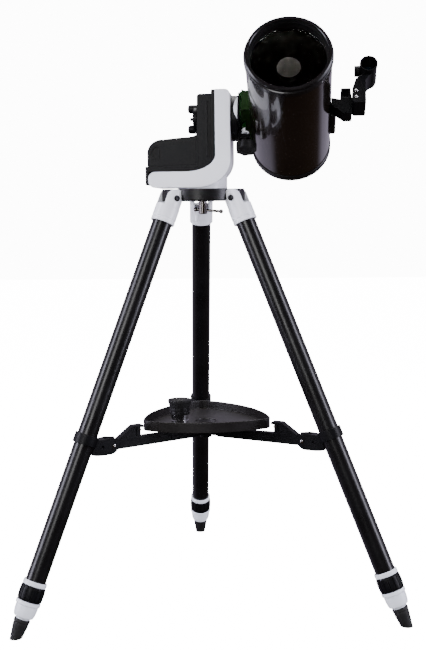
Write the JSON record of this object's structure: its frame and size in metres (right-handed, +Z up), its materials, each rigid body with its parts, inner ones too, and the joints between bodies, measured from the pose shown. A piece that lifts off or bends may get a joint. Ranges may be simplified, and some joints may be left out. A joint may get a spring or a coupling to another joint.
{
  "type": "maksutov telescope",
  "caption": "Compact catadioptric telescope on a one-armed alt-azimuth mount and a folding field tripod with an accessory tray.",
  "frame": {"origin": "middle of the footprint, on the floor", "axes": "+Z up; the tube looks toward -Y and up; the arm of the mount is on the -X side of the tube"},
  "size_m": [0.6788, 0.6358, 1.0239],
  "materials": {
    "tube_paint": "gloss black with a warm metallic fleck",
    "black_metal": "satin black anodised or painted",
    "steel": "bright plated",
    "black_plastic": "fine moulded grain",
    "white_plastic": "smooth satin white",
    "green_metal": "green anodised, satin",
    "brass": "machined",
    "lens_glass": "coated optical glass",
    "mirror_coat": "aluminised",
    "black_rubber": "matt rubber"
  },
  "bodies": {
    "tripod": {"tripod_head": "black_metal", "azimuth_base": "white_plastic"},
    "bolt": {"mounting_bolt": "steel"},
    "bar": {"bolt_bar": "steel"},
    "spreader": {"spreader_hub": "black_plastic"},
    "tray_body": {"tray": "black_plastic"},
    "spare": {"spare_eyepiece": "black_plastic"},
    "mount": {"mount_shell": "white_plastic", "mount_housing": "black_plastic", "battery_holder": "black_plastic"},
    "door": {"battery_door": "black_plastic"},
    "clutch_knob": {"altitude_clutch_knob": "black_plastic"},
    "altitude": {"altitude_hub": "black_plastic", "altitude_worm_wheel": "brass", "saddle": "green_metal"},
    "jaw": {"saddle_jaw": "green_metal"},
    "saddle_knob": {"saddle_knob": "black_plastic"},
    "telescope": {"dovetail_bar": "green_metal", "main_tube": "tube_paint", "front_cell": "black_metal", "corrector_lens": "lens_glass", "secondary_spot": "mirror_coat", "rear_cell": "black_metal", "baffle_tube": "black_metal", "visual_back": "black_metal", "finder_shoe": "black_plastic", "finder_bracket": "black_plastic"},
    "mirror": {"primary_mirror": "mirror_coat"},
    "focus_knob": {"focus_knob": "black_rubber"},
    "diagonal": {"star_diagonal": "black_metal"},
    "eyepiece": {"eyepiece": "black_plastic"},
    "finder": {"finder_body": "black_plastic", "finder_hood": "black_plastic"},
    "left_leg": {"left_leg_yoke": "white_plastic", "left_leg_tube": "black_metal", "left_leg_collar": "white_plastic", "left_leg_band": "black_plastic"},
    "left_lock": {"left_leg_lock": "black_plastic"},
    "left_foot": {"left_lower_tube": "black_metal", "left_foot_cup": "white_plastic", "left_foot_tip": "black_rubber"},
    "left_arm": {"left_spreader_arm": "black_plastic"},
    "right_leg": {"right_leg_yoke": "white_plastic", "right_leg_tube": "black_metal", "right_leg_collar": "white_plastic", "right_leg_band": "black_plastic"},
    "right_lock": {"right_leg_lock": "black_plastic"},
    "right_foot": {"right_lower_tube": "black_metal", "right_foot_cup": "white_plastic", "right_foot_tip": "black_rubber"},
    "right_arm": {"right_spreader_arm": "black_plastic"},
    "rear_leg": {"rear_leg_yoke": "white_plastic", "rear_leg_tube": "black_metal", "rear_leg_collar": "white_plastic", "rear_leg_band": "black_plastic"},
    "rear_lock": {"rear_leg_lock": "black_plastic"},
    "rear_foot": {"rear_lower_tube": "black_metal", "rear_foot_cup": "white_plastic", "rear_foot_tip": "black_rubber"},
    "rear_arm": {"rear_spreader_arm": "black_plastic"}
  },
  "joints": [
    {"name": "azimuth_turn", "type": "hinge", "parent": "tripod", "child": "mount", "pos_m": [-0.02625, -0.07256, 0.74857], "axis": [0, 0, 1], "continuous": true},
    {"name": "altitude_tilt", "type": "hinge", "parent": "mount", "child": "altitude", "pos_m": [-0.02625, -0.07256, 0.87257], "axis": [-1, 0, 0], "range_deg": [-35, 57]},
    {"name": "clutch_turn", "type": "hinge", "parent": "mount", "child": "clutch_knob", "pos_m": [-0.02625, -0.07256, 0.87257], "axis": [1, 0, 0], "range_deg": [0, 150]},
    {"name": "jaw_slide", "type": "slide", "parent": "altitude", "child": "jaw", "axis": [0, -0.4566, -0.8897], "range_m": [0, 0.003]},
    {"name": "saddle_knob_turn", "type": "hinge", "parent": "jaw", "child": "saddle_knob", "pos_m": [0.05415, -0.0995, 0.82008], "axis": [0, -0.4566, -0.8897], "range_deg": [0, 1080]},
    {"name": "tube_slide", "type": "slide", "parent": "altitude", "child": "telescope", "axis": [0, -0.8897, 0.4566], "range_m": [-0.02, 0.03]},
    {"name": "focus_turn", "type": "hinge", "parent": "telescope", "child": "focus_knob", "pos_m": [0.16342, 0.01522, 0.79175], "axis": [0, 0.8897, -0.4566], "range_deg": [-900, 900]},
    {"name": "mirror_focus", "type": "slide", "parent": "telescope", "child": "mirror", "axis": [0, -0.8897, 0.4566], "range_m": [-0.006, 0.006]},
    {"name": "diagonal_turn", "type": "hinge", "parent": "telescope", "child": "diagonal", "pos_m": [0.1316, 0.05199, 0.80864], "axis": [0, 0.8897, -0.4566], "range_deg": [-30, 90]},
    {"name": "eyepiece_lift", "type": "slide", "parent": "diagonal", "child": "eyepiece", "axis": [0, 0.4566, 0.8897], "range_m": [0, 0.03]},
    {"name": "finder_tilt", "type": "hinge", "parent": "telescope", "child": "finder", "pos_m": [0.2376, -0.12863, 0.8991], "axis": [1, 0, 0], "range_deg": [-3, 3]},
    {"name": "left_leg_fold", "type": "hinge", "parent": "tripod", "child": "left_leg", "pos_m": [-0.07901, -0.11353, 0.73237], "axis": [0.6133, -0.7898, 0], "range_deg": [0, 6]},
    {"name": "left_arm_swing", "type": "hinge", "parent": "left_leg", "child": "left_arm", "pos_m": [-0.18029, -0.19217, 0.30653], "axis": [0.6133, -0.7898, 0], "range_deg": [0, 37.46]},
    {"name": "left_lock_turn", "type": "hinge", "parent": "left_leg", "child": "left_lock", "pos_m": [-0.30486, -0.28891, 0.07158], "axis": [-0.3137, -0.2436, -0.9178], "range_deg": [0, 60]},
    {"name": "left_leg_extend", "type": "slide", "parent": "left_leg", "child": "left_foot", "axis": [-0.3137, -0.2436, -0.9178], "range_m": [0, 0.33]},
    {"name": "right_leg_fold", "type": "hinge", "parent": "tripod", "child": "right_leg", "pos_m": [0.03561, -0.09777, 0.73237], "axis": [0.3774, 0.9261, 0], "range_deg": [0, 6]},
    {"name": "right_arm_swing", "type": "hinge", "parent": "right_leg", "child": "right_arm", "pos_m": [0.15436, -0.14615, 0.30653], "axis": [0.3774, 0.9261, 0], "range_deg": [0, 37.46]},
    {"name": "right_lock_turn", "type": "hinge", "parent": "right_leg", "child": "right_lock", "pos_m": [0.30042, -0.20567, 0.07158], "axis": [0.3678, -0.1499, -0.9178], "range_deg": [0, 60]},
    {"name": "right_leg_extend", "type": "slide", "parent": "right_leg", "child": "right_foot", "axis": [0.3678, -0.1499, -0.9178], "range_m": [0, 0.33]},
    {"name": "rear_leg_fold", "type": "hinge", "parent": "tripod", "child": "rear_leg", "pos_m": [-0.03535, -0.00638, 0.73237], "axis": [-0.9907, -0.1362, 0], "range_deg": [0, 6]},
    {"name": "rear_arm_swing", "type": "hinge", "parent": "rear_leg", "child": "rear_arm", "pos_m": [-0.05282, 0.12065, 0.30653], "axis": [-0.9907, -0.1362, 0], "range_deg": [0, 37.46]},
    {"name": "rear_lock_turn", "type": "hinge", "parent": "rear_leg", "child": "rear_lock", "pos_m": [-0.0743, 0.2769, 0.07158], "axis": [-0.0541, 0.3934, -0.9178], "range_deg": [0, 60]},
    {"name": "rear_leg_extend", "type": "slide", "parent": "rear_leg", "child": "rear_foot", "axis": [-0.0541, 0.3934, -0.9178], "range_m": [0, 0.33]},
    {"name": "spreader_rise", "type": "slide", "parent": "tripod", "child": "spreader", "axis": [0, 0, 1], "range_m": [0, 0.10246]},
    {"name": "tray_turn", "type": "hinge", "parent": "spreader", "child": "tray_body", "pos_m": [-0.02625, -0.07256, 0.32403], "axis": [0, 0, 1], "range_deg": [0, 60]},
    {"name": "spare_lift", "type": "slide", "parent": "tray_body", "child": "spare", "axis": [0, 0, 1], "range_m": [0, 0.06]},
    {"name": "bolt_turn", "type": "hinge", "parent": "tripod", "child": "bolt", "pos_m": [-0.02625, -0.07256, 0.72237], "axis": [0, 0, 1], "continuous": true},
    {"name": "bar_slide", "type": "slide", "parent": "bolt", "child": "bar", "axis": [0.9962, 0, -0.0872], "range_m": [-0.02, 0.001]},
    {"name": "door_slide", "type": "slide", "parent": "mount", "child": "door", "axis": [-1, 0, 0], "range_m": [0, 0.09]}
  ],
  "couplings": [
    {"joint": "saddle_knob_turn", "follows": "jaw_slide", "rad_per_m": 6283.1},
    {"joint": "focus_turn", "follows": "mirror_focus", "rad_per_m": 2618},
    {"joint": "left_arm_swing", "follows": "left_leg_fold", "ratio": 6.2411},
    {"joint": "right_leg_fold", "follows": "left_leg_fold", "ratio": 1},
    {"joint": "right_arm_swing", "follows": "left_leg_fold", "ratio": 6.2411},
    {"joint": "rear_leg_fold", "follows": "left_leg_fold", "ratio": 1},
    {"joint": "rear_arm_swing", "follows": "left_leg_fold", "ratio": 6.2411},
    {"joint": "spreader_rise", "follows": "left_leg_fold", "m_per_rad": 0.97798}
  ]
}
